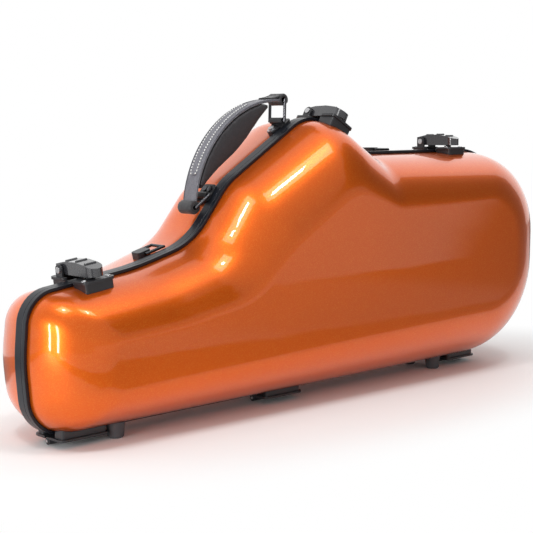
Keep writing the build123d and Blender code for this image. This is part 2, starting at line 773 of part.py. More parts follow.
strap_bottom = cradle_top - hold_strap_thickness
hold_strap = block(
    hold_strap_x - hold_strap_width / 2, hold_strap_x + hold_strap_width / 2, strap_bottom, cradle_top,
    hold_strap_z - hold_strap_length / 2, hold_strap_z + hold_strap_length / 2,
)
hold_patch = block(
    hold_strap_x - hold_strap_width / 2, hold_strap_x + hold_strap_width / 2,
    strap_bottom - hold_strap_thickness, strap_bottom,
    hold_strap_z - hold_patch_length / 2, hold_strap_z + hold_patch_length / 2,
)
nodes["hold_strap"] = hold_strap + hold_patch

# The row's origin: the middle of the footprint, at the feet's height
bounds = gathered(list(nodes.values())).bounding_box()
shift = Pos(-(bounds.min.X + bounds.max.X) / 2, -(bounds.min.Y + bounds.max.Y) / 2, 0)
for name, shape in nodes.items():
    moved = shift * gathered([shape])
    moved = moved.solids()[0] if len(moved.solids()) == 1 else moved
    export_step(moved, "parts/" + name + ".step")
    print(name, len(moved.solids()), moved.is_valid, round(moved.volume, 1))
print("shift", shift.position)
print("bounds", bounds.size)
for name, frame in {**latch_frames, **{"ring_" + k: v for k, v in ring_frames.items()}}.items():
    print(name, frame.origin, frame.x_dir, frame.z_dir)
print("pivots", lower_pivot, upper_pivot, grip_low, grip_high)
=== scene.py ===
import json
import math

import bmesh
import bpy
from mathutils import Matrix, Vector


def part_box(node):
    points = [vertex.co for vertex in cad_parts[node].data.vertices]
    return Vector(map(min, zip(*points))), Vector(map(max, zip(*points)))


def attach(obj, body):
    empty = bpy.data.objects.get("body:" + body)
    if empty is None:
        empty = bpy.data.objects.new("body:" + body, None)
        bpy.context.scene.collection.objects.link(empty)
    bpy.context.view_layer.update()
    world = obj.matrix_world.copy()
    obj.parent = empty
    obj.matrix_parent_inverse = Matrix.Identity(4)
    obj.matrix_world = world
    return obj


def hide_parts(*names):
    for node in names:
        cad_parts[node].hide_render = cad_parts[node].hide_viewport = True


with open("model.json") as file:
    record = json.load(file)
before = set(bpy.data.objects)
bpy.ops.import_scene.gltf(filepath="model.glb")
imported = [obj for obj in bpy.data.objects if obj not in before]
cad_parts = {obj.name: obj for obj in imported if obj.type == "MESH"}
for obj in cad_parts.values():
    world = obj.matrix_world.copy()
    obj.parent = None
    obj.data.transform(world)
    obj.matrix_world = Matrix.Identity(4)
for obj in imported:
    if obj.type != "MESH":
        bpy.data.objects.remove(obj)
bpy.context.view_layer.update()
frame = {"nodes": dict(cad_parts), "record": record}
record = frame["record"]
nodes = frame["nodes"]
scene = bpy.context.scene
mm = 0.001


# Shader maths: a socket that can be added, multiplied and compared in plain expressions
class Wire:
    def __init__(self, paint, socket):
        self.paint, self.socket = paint, socket

    def maths(self, operation, *others):
        return self.paint.node("ShaderNodeMath", {"operation": operation}, [self, *others])

    def __add__(self, other):
        return self.maths("ADD", other)

    def __sub__(self, other):
        return self.maths("SUBTRACT", other)

    def __rsub__(self, other):
        return self.paint.node("ShaderNodeMath", {"operation": "SUBTRACT"}, [other, self])

    def __mul__(self, other):
        return self.maths("MULTIPLY", other)

    def __truediv__(self, other):
        return self.maths("DIVIDE", other)

    def __rtruediv__(self, other):
        return self.paint.node("ShaderNodeMath", {"operation": "DIVIDE"}, [other, self])

    def __pow__(self, other):
        return self.maths("POWER", other)

    def __lt__(self, other):
        return self.maths("LESS_THAN", other)

    def __gt__(self, other):
        return self.maths("GREATER_THAN", other)

    __radd__ = __add__
    __rmul__ = __mul__


class Paint:
    def __init__(self, name, worldTree=None):
        if worldTree is None:
            self.material = bpy.data.materials.new(name)
            self.material.use_nodes = True
            self.tree = self.material.node_tree
        else:
            self.tree = worldTree
        self.tree.nodes.clear()
        if worldTree is None:
            self.output = self.tree.nodes.new("ShaderNodeOutputMaterial")
            self.surface = self.tree.nodes.new("ShaderNodeBsdfPrincipled")
            self.tree.links.new(self.surface.outputs[0], self.output.inputs[0])
        else:
            self.output = self.tree.nodes.new("ShaderNodeOutputWorld")

    # settings are set first, then values or links go into the sockets by name or by order
    def node(self, kind, settings=None, values=None, out=0):
        made = self.tree.nodes.new(kind)
        for key, value in (settings or {}).items():
            if key == "stops":
                ramp = made.color_ramp.elements
                while len(ramp) < len(value):
                    ramp.new(0.5)
                for stop, (place, colour) in zip(ramp, value):
                    stop.position = place
                    stop.color = (*colour, 1) if len(colour) == 3 else colour
            else:
                setattr(made, key, value)
        pairs = values.items() if isinstance(values, dict) else enumerate(values or [])
        for key, value in pairs:
            self.feed(made.inputs[key], value)
        return Wire(self, made.outputs[out])

    def feed(self, socket, value):
        if isinstance(value, Wire):
            self.tree.links.new(value.socket, socket)
        elif hasattr(socket.default_value, "__len__"):
            value = tuple(value)
            socket.default_value = (*value, 1) if len(value) < len(socket.default_value) else value
        else:
            socket.default_value = value

    def set(self, **values):
        for key, value in values.items():
            self.feed(self.surface.inputs[key.replace("_", " ")], value)
        return self.material

    def blend(self, factor, other):
        both = self.tree.nodes.new("ShaderNodeMixShader")
        self.tree.links.new(factor.socket, both.inputs[0])
        self.tree.links.new(self.surface.outputs[0], both.inputs[1])
        self.tree.links.new(other.socket, both.inputs[2])
        self.tree.links.new(both.outputs[0], self.output.inputs[0])

    def place(self):
        return self.node("ShaderNodeTexCoord", out="Object")

    def noise(self, scale, detail=2.0, rough=0.5, place=None):
        return self.node("ShaderNodeTexNoise", {}, {
            "Vector": place or self.place(), "Scale": scale, "Detail": detail, "Roughness": rough})

    def mix(self, factor, a, b):
        return self.node("ShaderNodeMix", {"data_type": "RGBA"}, {0: factor, 6: a, 7: b}, 2)

    def bump(self, height, strength, distance, normal=None):
        values = {"Height": height, "Strength": strength, "Distance": distance}
        if normal is not None:
            values["Normal"] = normal
        return self.node("ShaderNodeBump", {}, values)

    # smooth step of a value between two ends, from the first level to the second
    def fade(self, value, ends, levels=(0.0, 1.0)):
        return self.node("ShaderNodeMapRange", {"interpolation_type": "SMOOTHSTEP"}, {
            "Value": value, "From Min": ends[0], "From Max": ends[1],
            "To Min": levels[0], "To Max": levels[1]})

    # how far one direction points along another
    def facing(self, toward, direction):
        return self.node("ShaderNodeVectorMath", {"operation": "DOT_PRODUCT"}, {
            0: toward, 1: direction}, "Value")

    def rounded(self, radius):
        return self.node("ShaderNodeBevel", {"samples": 6}, {"Radius": radius})

    def apart(self, vector):
        split = self.tree.nodes.new("ShaderNodeSeparateXYZ")
        self.tree.links.new(vector.socket, split.inputs[0])
        return [Wire(self, split.outputs[i]) for i in range(3)]


copper = {"base": (0.83, 0.130, 0.003), "deep": (0.69, 0.095, 0.002), "flake": (1.0, 0.42, 0.06)}


def copperLacquer():
    paint = Paint("copperLacquer")
    flakes = paint.node("ShaderNodeTexVoronoi", {"feature": "F1"}, {
        "Vector": paint.place(), "Scale": 2600.0}, "Color")
    sparkle = paint.node("ShaderNodeSeparateColor", {}, [flakes])
    cloud = paint.noise(7.0, 3.0)
    tone = paint.mix(cloud * 0.5 + 0.15, copper["base"], copper["deep"])
    tone = paint.mix((sparkle > 0.8) * 0.2, tone, copper["flake"])
    lift = paint.bump(sparkle, 0.06, 0.00005)
    return paint.set(Base_Color=tone, Metallic=0.74, Roughness=0.31 + cloud * 0.05, Specular_IOR_Level=0.2,
                     Coat_Weight=1.0, Coat_Roughness=0.008, Coat_IOR=1.37, Normal=lift)


def satinTrim():
    paint = Paint("satinTrim")
    grain = paint.noise(900.0, 3.0)
    streak = paint.noise(40.0, 2.0)
    tone = paint.mix(streak, (0.004, 0.005, 0.008), (0.011, 0.013, 0.019))
    lift = paint.bump(grain, 0.08, 0.0001, paint.rounded(1.1 * mm))
    return paint.set(Base_Color=tone, Roughness=0.26 + grain * 0.1, Specular_IOR_Level=0.34, Normal=lift)


def dullRubber(name, dark, light):
    paint = Paint(name)
    grain = paint.noise(1400.0, 3.0)
    tone = paint.mix(paint.noise(60.0), dark, light)
    lift = paint.bump(grain, 0.3, 0.0002, paint.rounded(0.5 * mm))
    return paint.set(Base_Color=tone, Roughness=0.62 + grain * 0.2, Normal=lift)


def brushedSteel():
    paint = Paint("brushedSteel")
    x, y, z = paint.apart(paint.place())
    stretched = paint.node("ShaderNodeCombineXYZ", {}, [x * 60.0, y * 1800.0, z * 1800.0])
    brush = paint.noise(1.0, 3.0, 0.6, stretched)
    lift = paint.bump(brush, 0.1, 0.00005, paint.rounded(0.3 * mm))
    return paint.set(Base_Color=paint.mix(brush, (0.42, 0.42, 0.43), (0.66, 0.66, 0.67)), Metallic=1.0,
                     Roughness=0.22 + brush * 0.16, Normal=lift)


def platedWire(name, dark, light):
    paint = Paint(name)
    haze = paint.noise(120.0, 3.0)
    tone = paint.mix(haze, dark, light)
    return paint.set(Base_Color=tone, Metallic=1.0, Roughness=0.12 + haze * 0.16,
                     Normal=paint.bump(paint.noise(700.0), 0.05, 0.00005))


def blackCoat():
    paint = Paint("blackCoat")
    grain = paint.noise(1500.0, 2.0)
    tone = paint.mix(paint.noise(50.0), (0.012, 0.012, 0.014), (0.03, 0.03, 0.034))
    lift = paint.bump(grain, 0.15, 0.0001, paint.rounded(0.5 * mm))
    return paint.set(Base_Color=tone, Metallic=0.0, Roughness=0.3 + grain * 0.12, Normal=lift)


def leverPlastic():
    paint = Paint("leverPlastic")
    grain = paint.noise(800.0, 2.0)
    tone = paint.mix(paint.noise(70.0), (0.014, 0.014, 0.017), (0.034, 0.034, 0.039))
    lift = paint.bump(grain, 0.06, 0.0001, paint.rounded(0.7 * mm))
    return paint.set(Base_Color=tone, Roughness=0.22 + grain * 0.1, Coat_Weight=1.0, Coat_Roughness=0.06,
                     Normal=lift)


def grainedLeather(name, dark, light, rough):
    paint = Paint(name)
    cells = paint.node("ShaderNodeTexVoronoi", {"feature": "F1"}, {"Vector": paint.place(), "Scale": 950.0})
    creases = paint.noise(240.0, 4.0, 0.6)
    height = cells * -0.6 + creases * 0.7
    tone = paint.mix(creases * 0.6 + cells * 0.5, light, dark)
    lift = paint.bump(height, 0.55, 0.0004)
    return paint.set(Base_Color=tone, Roughness=rough + creases * 0.18, Sheen_Weight=0.15, Normal=lift)


def plush():
    paint = Paint("plush")
    pile = paint.noise(1900.0, 4.0, 0.7)
    wave = paint.noise(28.0, 2.0)
    tone = paint.mix(pile * 0.7 + wave * 0.4, (0.009, 0.009, 0.011), (0.05, 0.05, 0.056))
    return paint.set(Base_Color=tone, Roughness=0.85 + pile * 0.1, Sheen_Weight=0.9, Sheen_Roughness=0.35,
                     Normal=paint.bump(pile, 0.9, 0.0008))


def wovenStrap():
    paint = Paint("wovenStrap")
    x, _, z = paint.apart(paint.place())
    ribs = paint.node("ShaderNodeMath", {"operation": "SINE"}, [(x + z) * 4200.0])
    cross = paint.node("ShaderNodeMath", {"operation": "SINE"}, [(x - z) * 4200.0])
    weave = ribs * cross * 0.5 + 0.5
    tone = paint.mix(weave, (0.012, 0.012, 0.014), (0.05, 0.05, 0.056))
    return paint.set(Base_Color=tone, Roughness=0.72 + weave * 0.1, Normal=paint.bump(weave, 0.5, 0.0003))


def paleThread():
    paint = Paint("paleThread")
    twist = paint.noise(2600.0, 2.0)
    tone = paint.mix(twist, (0.62, 0.62, 0.60), (0.86, 0.86, 0.84))
    return paint.set(Base_Color=tone, Roughness=0.7 + twist * 0.1, Normal=paint.bump(twist, 0.4, 0.0001))


finishes = {
    "shell_finish": copperLacquer(),
    "rim_trim": satinTrim(),
    "seal_rubber": dullRubber("sealRubber", (0.01, 0.01, 0.01), (0.03, 0.03, 0.03)),
    "foot_rubber": dullRubber("footRubber", (0.05, 0.052, 0.058), (0.11, 0.112, 0.12)),
    "steel": brushedSteel(),
    "bright_wire": platedWire("brightWire", (0.40, 0.40, 0.42), (0.62, 0.62, 0.64)),
    "black_metal": blackCoat(),
    "lever_plastic": leverPlastic(),
    "leather": grainedLeather("grainedLeather", (0.016, 0.016, 0.018), (0.05, 0.05, 0.054), 0.42),
    "plush": plush(),
    "webbing": wovenStrap(),
}
thread = paleThread()
smokedWire = platedWire("smokedWire", (0.05, 0.05, 0.055), (0.13, 0.13, 0.14))
# A paler copy of the grained leather for the strap and the panel: a painted highlight where their tops catch
# the light
paleLeather = grainedLeather("paleLeather", (0.085, 0.085, 0.10), (0.20, 0.197, 0.225), 0.42)
# A darker copy of the same grained leather for the grip: painted shade on its near side
gripLeather = grainedLeather("gripLeather", (0.010, 0.009, 0.011), (0.035, 0.031, 0.036), 0.5)
smokedNodes = ("handle_loop", "strap_ring_left", "strap_ring_right", "bracket_rivets")
for part in record["subparts"]:
    piece = nodes[part["node"]]
    piece.data.materials.clear()
    smoked = part["node"].startswith(smokedNodes)
    piece.data.materials.append(smokedWire if smoked else finishes[part["material_slot"]])
print("finishes on", len(nodes), "carried-over nodes")


# Outlines are shares of length and height, as in the CAD source; the other lengths are in metres. The frame's
# zero lies to the right of the source's by shift, and the base rim reaches behind the seam by rimBack
caseForm = {
    "length": 0.6525, "height": 0.2697, "rimBase": 0.008, "rimProud": 0.003, "wall": 0.003,
    "shift": 0.00003, "rimBack": 0.0085,
    "outlineX": [-0.492, -0.5012, -0.4943, -0.328, -0.2293, -0.1667, 0.0031, 0.1012, 0.5004, 0.5004],
    "outlineZ": [0.0, 0.2373, 0.4386, 0.4935, 0.5591, 0.7482, 1.0, 0.8454, 0.8565, 0.0],
    "outlineRound": [0.1335, 0.5562, 0.1112, 0.964, 0.2781, 0.2596, 0.1669, 0.1261, 0.3115, 0.4],
    "capX": [-0.4138, -0.4199, -0.4046, -0.3034, -0.19, -0.1103, 0.0031, 0.095, 0.377, 0.377],
    "capZ": [0.1557, 0.2225, 0.2892, 0.3115, 0.3634, 0.5265, 0.7119, 0.6377, 0.66, 0.2595],
    "capRound": [0.0371, 0.0519, 0.0445, 0.5562, 0.2966, 0.2966, 0.1483, 0.1483, 0.1706, 0.1706],
    "arcSteps": 12, "runSteps": 8, "rings": 34, "fullness": (-0.30, -0.15),
}
halves = {
    "lid": {"side": -1, "narrow": 0.052, "wide": 0.082, "power": 2.05, "endPower": 2.05, "edgeAngle": 1.6},
    "base": {"side": 1, "narrow": 0.070, "wide": 0.0933, "power": 4.4, "endPower": 2.3, "edgeAngle": 1.0},
}


# The source's own zero: x along the case, y across the seam, z up
rimLow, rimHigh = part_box("base_rim")
seam = {"x": (rimLow.x + rimHigh.x) / 2 - caseForm["shift"], "y": rimHigh.y - caseForm["rimBack"]}
joints = {joint["name"]: joint for joint in record["behaviour"]["joints"]}


# Corners of an outline as (x, z, radius)
def cornersOf(xs, zs, rounds):
    form = caseForm
    return [(form["length"] * x, form["rimBase"] + form["height"] * z, form["height"] * r)
            for x, z, r in zip(xs, zs, rounds)]


def heading(ax, az, bx, bz):
    length = math.hypot(bx - ax, bz - az)
    return (bx - ax) / length, (bz - az) / length


# The same corners with every side moved out by an amount
def grown(corners, amount):
    moved = []
    for i, (x, z, radius) in enumerate(corners):
        before, after = corners[i - 1], corners[(i + 1) % len(corners)]
        ux, uz = heading(before[0], before[1], x, z)
        vx, vz = heading(x, z, after[0], after[1])
        scale = amount / (1 + ux * vx + uz * vz)
        change = amount if ux * vz - uz * vx < 0 else -amount
        moved.append((x - scale * (uz + vz), z + scale * (ux + vx), radius + change))
    return moved


# Closed line of an outline: the same count of points on every arc and every straight run
def tracedLine(corners):
    form = caseForm
    line = []
    bends = []
    for i, (x, z, radius) in enumerate(corners):
        before, after = corners[i - 1], corners[(i + 1) % len(corners)]
        ux, uz = heading(before[0], before[1], x, z)
        vx, vz = heading(x, z, after[0], after[1])
        turn = math.atan2(ux * vz - uz * vx, ux * vx + uz * vz)
        back = radius * math.tan(abs(turn) / 2)
        side = 1 if turn > 0 else -1
        start = (x - ux * back, z - uz * back)
        centre = (start[0] - side * uz * radius, start[1] + side * ux * radius)
        bends.append((start, centre, turn, (x + vx * back, z + vz * back)))
    for i, (start, centre, turn, end) in enumerate(bends):
        for step in range(form["arcSteps"]):
            angle = turn * step / form["arcSteps"]
            dx, dz = start[0] - centre[0], start[1] - centre[1]
            line.append((centre[0] + dx * math.cos(angle) - dz * math.sin(angle),
                         centre[1] + dx * math.sin(angle) + dz * math.cos(angle)))
        after = bends[(i + 1) % len(bends)][0]
        for step in range(form["runSteps"]):
            share = step / form["runSteps"]
            line.append((end[0] + (after[0] - end[0]) * share, end[1] + (after[1] - end[1]) * share))
    return line


rimCorners = cornersOf(caseForm["outlineX"], caseForm["outlineZ"], caseForm["outlineRound"])
capCorners = cornersOf(caseForm["capX"], caseForm["capZ"], caseForm["capRound"])


# One ring of a moulded half, at an angle from the seam (0) to the flat cap (90). Its profile has the end's
# power at the left end and passes into the half's own power along the stretch called fullness
def shellRing(half, growth, angle):
    outer = grown(rimCorners, growth - caseForm["rimProud"])
    versions = []
    for power in (half["endPower"], half["power"]):
        inward = 1 - max(math.cos(math.radians(angle)), 0.0) ** (2 / power) if angle < 90 else 1
        rise = math.sin(math.radians(angle)) ** (2 / power)
        blend = [tuple(a + (b - a) * inward for a, b in zip(o, c)) for o, c in zip(outer, capCorners)]
        ring = []
        for x, z in tracedLine(blend):
            depth = half["narrow"] + (half["wide"] - half["narrow"]) * (x / caseForm["length"] + 0.5)
            ring.append(Vector((x + seam["x"], half["side"] * rise * (depth + growth) + seam["y"], z)))
        versions.append(ring)
    low, high = caseForm["fullness"]
    ring = []
    for end, middle in zip(*versions):
        share = min(max((end.x - seam["x"] - low) / (high - low), 0.0), 1.0)
        ring.append(end.lerp(middle, share * share * (3 - 2 * share)))
    return ring


def newPiece(name, mesh, material, body):
    piece = bpy.data.objects.new(name, mesh)
    scene.collection.objects.link(piece)
    mesh.materials.append(material)
    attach(piece, body)
    return piece


def smoothShaded(mesh, sharpAngle=None):
    mesh.polygons.foreach_set("use_smooth", [True] * len(mesh.polygons))
    if sharpAngle is not None:
        mesh.set_sharp_from_angle(angle=math.radians(sharpAngle))
    mesh.update()


def vertsAt(bm, points):
    return [bm.verts.new(point) for point in points]


# Faces between rows of vertices of equal count, each row closed round
def bridged(bm, rows):
    for low, high in zip(rows, rows[1:]):
        for i in range(len(low)):
            j = (i + 1) % len(low)
            bm.faces.new((low[i], low[j], high[j], high[i]))


def cappedEnds(bm, rows):
    bm.faces.new(list(reversed(rows[0])))
    bm.faces.new(rows[-1])


def meshOf(bm, name):
    bmesh.ops.recalc_face_normals(bm, faces=bm.faces)
    mesh = bpy.data.meshes.new(name)
    bm.to_mesh(mesh)
    bm.free()
    return mesh


# Skin through rings of equal count; its ends are capped unless it runs in a loop
def ringSkin(name, rings, loop=False):
    bm = bmesh.new()
    rows = [vertsAt(bm, ring) for ring in rings]
    if loop:
        bridged(bm, rows + [rows[0]])
    else:
        bridged(bm, rows)
        cappedEnds(bm, rows)
    return meshOf(bm, name)


# A moulded half: outer skin from rim to cap, the same skin drawn in by the wall, and the edge between them
def mouldedShell(key):
    half = halves[key]
    rings = caseForm["rings"]
    outerAngles = [half["edgeAngle"] + (90 - half["edgeAngle"]) * i / rings for i in range(rings + 1)]
    innerAngles = [90 * i / (rings // 2) for i in range(rings // 2, -1, -1)]
    skins = [shellRing(half, 0, angle) for angle in outerAngles]
    inside = [shellRing(half, -caseForm["wall"], angle) for angle in innerAngles]
    bm = bmesh.new()
    outerRows = [vertsAt(bm, points) for points in skins]
    innerRows = [vertsAt(bm, points) for points in inside]
    bridged(bm, outerRows)
    bridged(bm, innerRows)
    bm.faces.new(outerRows[-1])
    bm.faces.new(innerRows[0])
    bridged(bm, [innerRows[-1], outerRows[0]])
    mesh = meshOf(bm, key + "ShellSkin")
    smoothShaded(mesh, 50)
    piece = newPiece(key + "ShellSkin", mesh, finishes["shell_finish"], key)
    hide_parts(key + "_shell")


for key in halves:
    mouldedShell(key)
print("moulded shells")


# Point of the scene from the source's millimetres
def seamPoint(x, y, z):
    return Vector((x * mm + seam["x"], y * mm + seam["y"], z * mm))


# Place of the frame, seen from the side, in the source's millimetres
def sourcePlace(x, z):
    return (x + caseForm["shift"]) / mm, z / mm


# A band's top between its rounded edges: share of the half width, and share of the edge bead's height
bandTopShares = ((0.72, 0.2), (0.3, 0.0), (-0.3, 0.0), (-0.72, 0.2))
bandEdgeShare = 0.45


# Round-edged band through stations of (point, along the width, outward), in metres
def bandRings(stations, half, thick, bead=0.0, corner=0.7):
    rings = []
    r = min(corner * mm, thick * bandEdgeShare)
    for point, across, outward in stations:
        section = []
        for w, sign in ((half, 1), (-half, -1)):
            turns = [0, 30, 60, 90] if sign > 0 else [90, 60, 30, 0]
            for turn in turns:
                a = math.radians(turn)
                section.append((w - sign * r * (1 - math.sin(a)), -r * (1 - math.cos(a)) + bead))
            if sign > 0:
                section += [(half * share, bead * rise) for share, rise in bandTopShares]
        section += [(-half, -thick + r), (-half + r, -thick), (half - r, -thick), (half, -thick + r)]
        rings.append([point + across * w + outward * h for w, h in section])
    return rings


# Least reach of a cross-shaped recess, as a share of its greatest
crossShare = 0.45


# Turned form: (radius, height) pairs in millimetres along a direction. From step lobes on it is a
# cross-shaped recess
def turned(bm, point, direction, profile, sides=20, lobes=None):
    up = Vector(direction).normalized()
    side = up.orthogonal().normalized()
    other = up.cross(side)
    rows = []
    for step, (radius, height) in enumerate(profile):
        ring = []
        for i in range(sides):
            angle = 2 * math.pi * i / sides
            reach = radius * mm
            if lobes is not None and step >= lobes:
                reach *= crossShare + (1 - crossShare) * max(0.0, math.cos(4 * angle))
            ring.append(point + up * height * mm + side * reach * math.cos(angle)
                        + other * reach * math.sin(angle))
        rows.append(vertsAt(bm, ring))
    bridged(bm, rows)
    cappedEnds(bm, rows)


def fasteners(name, body, finish, places, profile, sides=20, lobes=None):
    bm = bmesh.new()
    for point, direction in places:
        turned(bm, point, direction, profile, sides, lobes)
    mesh = meshOf(bm, name)
    smoothShaded(mesh, 35)
    newPiece(name, mesh, finish, body)


# Small turned fasteners and their places, in millimetres
rivets = {
    "eyelet": [(2.35, -0.4), (2.35, 0.3), (2.1, 0.62), (1.7, 0.66), (1.3, 0.4), (1.15, -0.2)],
    "dome": [(1.55, -0.3), (1.55, 0.12), (1.25, 0.5), (0.7, 0.7), (0.15, 0.74)],
    "screw": [(3.0, -0.1), (3.0, 0.5), (2.6, 1.0), (2.0, 1.25), (1.9, 1.25), (1.5, 0.5)],
    "catchT": 11.9, "catchY": -19.5, "baseT": 6.0, "baseY": 26.9, "plateTop": 2.5, "pivotRise": 8.5,
    "hingeX": (-278.0, -48.0, 232.0), "hingeStep": 16.0, "hingeY": 13.0, "hingeZ": 5.9,
    "footX": (-244.4, 186.0), "footY": {"lid": -14.4, "base": 18.4}, "footFloor": 3.0,
}


# A place on a latch's plate, t along the rim's slope. The lever's pivot stands over the latch's middle
def latchPlace(joint, t, y):
    x, z = sourcePlace(joint["pos_m"][0], joint["pos_m"][2])
    tx, tz = -joint["axis"][0], -joint["axis"][2]
    n = rivets["plateTop"] - rivets["pivotRise"]
    return seamPoint(x + tx * t - tz * n, y, z + tz * t + tx * n), (-tz, 0, tx)


def smallFasteners():
    down = (0, 0, -1)
    sides = (-1, 1)
    spots = [(joints["lever_" + name], side) for name in ("left", "peak", "right") for side in sides]
    catch = [latchPlace(lever, side * rivets["catchT"], rivets["catchY"]) for lever, side in spots]
    seat = [latchPlace(lever, side * rivets["baseT"], rivets["baseY"]) for lever, side in spots]
    fasteners("catchEyelets", "lid", finishes["steel"], catch, rivets["eyelet"])
    fasteners("latchRivets", "base", finishes["steel"], seat, rivets["dome"])
    for body, side in zip(("lid", "base"), sides):
        places = [x + step * rivets["hingeStep"] for x in rivets["hingeX"] for step in (-1, 0, 1)]
        leaves = [(seamPoint(x, side * rivets["hingeY"], rivets["hingeZ"]), down) for x in places]
        fasteners(body + "HingeRivets", body, finishes["steel"], leaves, rivets["dome"])
        feet = [(seamPoint(x, rivets["footY"][body], rivets["footFloor"]), down) for x in rivets["footX"]]
        fasteners(body + "FootScrews", body, finishes["steel"], feet, rivets["screw"], 24, 4)


smallFasteners()
print("rivets and screws")


# Handle: everything is placed on the strap's arc, which runs through both wire bars. Lengths are in
# millimetres; strapShort, panelStart, panelEnd, tailStart and wrapStart are in degrees
handleForm = {"y": 14.0, "sagitta": 31.0,
              "strapHalf": 8.6, "strapThick": 2.6, "strapShort": 2.6,
              "panelHalf": 5.2, "panelRise": 1.5, "panelThick": 0.9, "panelSunk": 0.15,
              "panelFlank": 5, "panelTaper": 1.6, "panelTip": 0.25, "panelStart": 15.5, "panelEnd": 23.0,
              "grooveDepth": 0.35, "grooveHalf": 0.45,
              "roll": 6.5, "rollHalf": 8.8, "rollHole": 1.9, "flap": 6.0, "flapHole": 2.6,
              "wrapStep": 0.07, "wrapStart": 70.0, "wrapFrom": 0.6,
              "tailStart": 1.2, "tailLength": 17.0, "tailHalf": 8.4, "tailThick": 1.5, "tailLift": 3.2,
              "threadInset": 1.25, "threadGap": 2.9, "threadLength": 1.7, "threadThick": 0.66,
              "threadSunk": 0.25, "threadTip": 0.3}


# The lower bar is the handle's joint. The upper bar and its loop's joint lie in opposite corners of the loop
def wireBars():
    lower, pivot = joints["handle"]["pos_m"], joints["loop_upper"]["pos_m"]
    near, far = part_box("handle_loop_upper")
    upper = sourcePlace(near.x + far.x - pivot[0], near.z + far.z - pivot[2])
    return sourcePlace(lower[0], lower[2]), upper


class HandleArc:
    def __init__(self, form, low, high):
        (ax, az), (bx, bz) = low, high
        self.low = low
        self.span = math.hypot(bx - ax, bz - az)
        self.slope = math.atan2(bz - az, bx - ax)
        self.radius = ((self.span / 2) ** 2 + form["sagitta"] ** 2) / (2 * form["sagitta"])
        self.drop = form["sagitta"] - self.radius
        self.start = math.degrees(math.atan2(-self.drop, -self.span / 2))
        self.end = math.degrees(math.atan2(-self.drop, self.span / 2))
        self.across = form["y"]

    # u on the line from bar to bar, v away from the case, in millimetres
    def at(self, u, v, across):
        c, s = math.cos(self.slope), math.sin(self.slope)
        x, z = self.low
        return seamPoint(x + u * c - v * s, self.across + across, z + u * s + v * c)

    # turn is an angle of the arc in degrees, lift a height over the strap's top
    def on(self, turn, lift, across):
        a = math.radians(turn)
        reach = self.radius + lift
        return self.at(self.span / 2 + reach * math.cos(a), self.drop + reach * math.sin(a), across)

    def outward(self, turn):
        return (self.on(turn, 1, 0) - self.on(turn, 0, 0)).normalized()

    # share of the way from one bar to the other, and depth in millimetres under the strap's top
    def reading(self, point):
        c, s = math.cos(self.slope), math.sin(self.slope)
        dx, dz = (point.x - seam["x"]) / mm - self.low[0], point.z / mm - self.low[1]
        u, v = dx * c + dz * s - self.span / 2, dz * c - dx * s - self.drop
        turn = math.degrees(math.atan2(v, u))
        return (self.start - turn) / (self.start - self.end), self.radius - math.hypot(u, v)


arc = HandleArc(handleForm, *wireBars())
sideways = Vector((0, 1, 0))


def handleStrap():
    form = handleForm
    low, high = arc.start - form["strapShort"], arc.end + form["strapShort"]
    stations = []
    steps = 64
    for i in range(steps + 1):
        turn = low + (high - low) * i / steps
        stations.append((arc.on(turn, 0, 0), sideways, arc.outward(turn)))
    rings = bandRings(stations, form["strapHalf"] * mm, form["strapThick"] * mm, 0.35 * mm, 0.9)
    mesh = ringSkin("strapBand", rings)
    smoothShaded(mesh, 60)
    # the strap wears the paler copy of the leather, a painted highlight
    strap = newPiece("strapBand", mesh, paleLeather, "handle")
    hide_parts("handle_strap")


# Where the panel starts and ends on the arc, in degrees, and its length
def panelRun():
    low, high = arc.start - handleForm["panelStart"], arc.end + handleForm["panelEnd"]
    return low, high, math.radians(low - high) * arc.radius


# Half width of the panel, whose ends are round
def panelHalfAt(share, length):
    half = handleForm["panelHalf"]
    end = min(share, 1 - share) * length
    return half if end >= half else math.sqrt(max(half * half - (half - end) ** 2, 0.0))


# Height of the panel's crown at a share of the half width there
def panelCrown(across, half):
    form = handleForm
    taper = min(1.0, half / form["panelHalf"] * form["panelTaper"])
    return form["panelRise"] * (1 - across ** form["panelFlank"]) * taper


# Long crowned panel, sewn on along its edge
def handlePanel():
    form = handleForm
    low, high, length = panelRun()
    steps, columns = 90, 10
    bm = bmesh.new()
    rows = []
    for i in range(steps + 1):
        share = 0.5 - 0.5 * math.cos(math.pi * i / steps)
        turn = low + (high - low) * share
        half = max(panelHalfAt(share, length), form["panelTip"])
        row = []
        for j in range(columns + 1):
            w = -1 + 2 * j / columns
            away = abs(w) * half - (half - form["threadInset"])
            groove = form["grooveDepth"] * math.exp(-(away / form["grooveHalf"]) ** 2)
            lift = panelCrown(abs(w), half) - groove - form["panelSunk"]
            row.append(arc.on(turn, lift, w * half))
        rows.append(vertsAt(bm, row))
    for a, b in zip(rows, rows[1:]):
        for j in range(columns):
            bm.faces.new((a[j], a[j + 1], b[j + 1], b[j]))
    mesh = meshOf(bm, "sewnPanel")
    smoothShaded(mesh)
    # the panel wears the paler copy of the leather, a painted highlight
    panel = newPiece("sewnPanel", mesh, paleLeather, "handle")
    sheet = panel.modifiers.new("thickness", "SOLIDIFY")
    sheet.thickness = form["panelThick"] * mm
    sheet.offset = -1.0
    fine = panel.modifiers.new("fine", "SUBSURF")
    fine.levels = fine.render_levels = 1
    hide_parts("handle_panel")


# Rings of one stitch: place as a share of its length, size as a share of its thickness, lift in millimetres
stitchForm = ((-0.5, 0.45, -0.12), (-0.32, 0.9, 0.12), (0.0, 1.0, 0.22),
              (0.32, 0.9, 0.12), (0.5, 0.45, -0.12))
stitchSides = 6


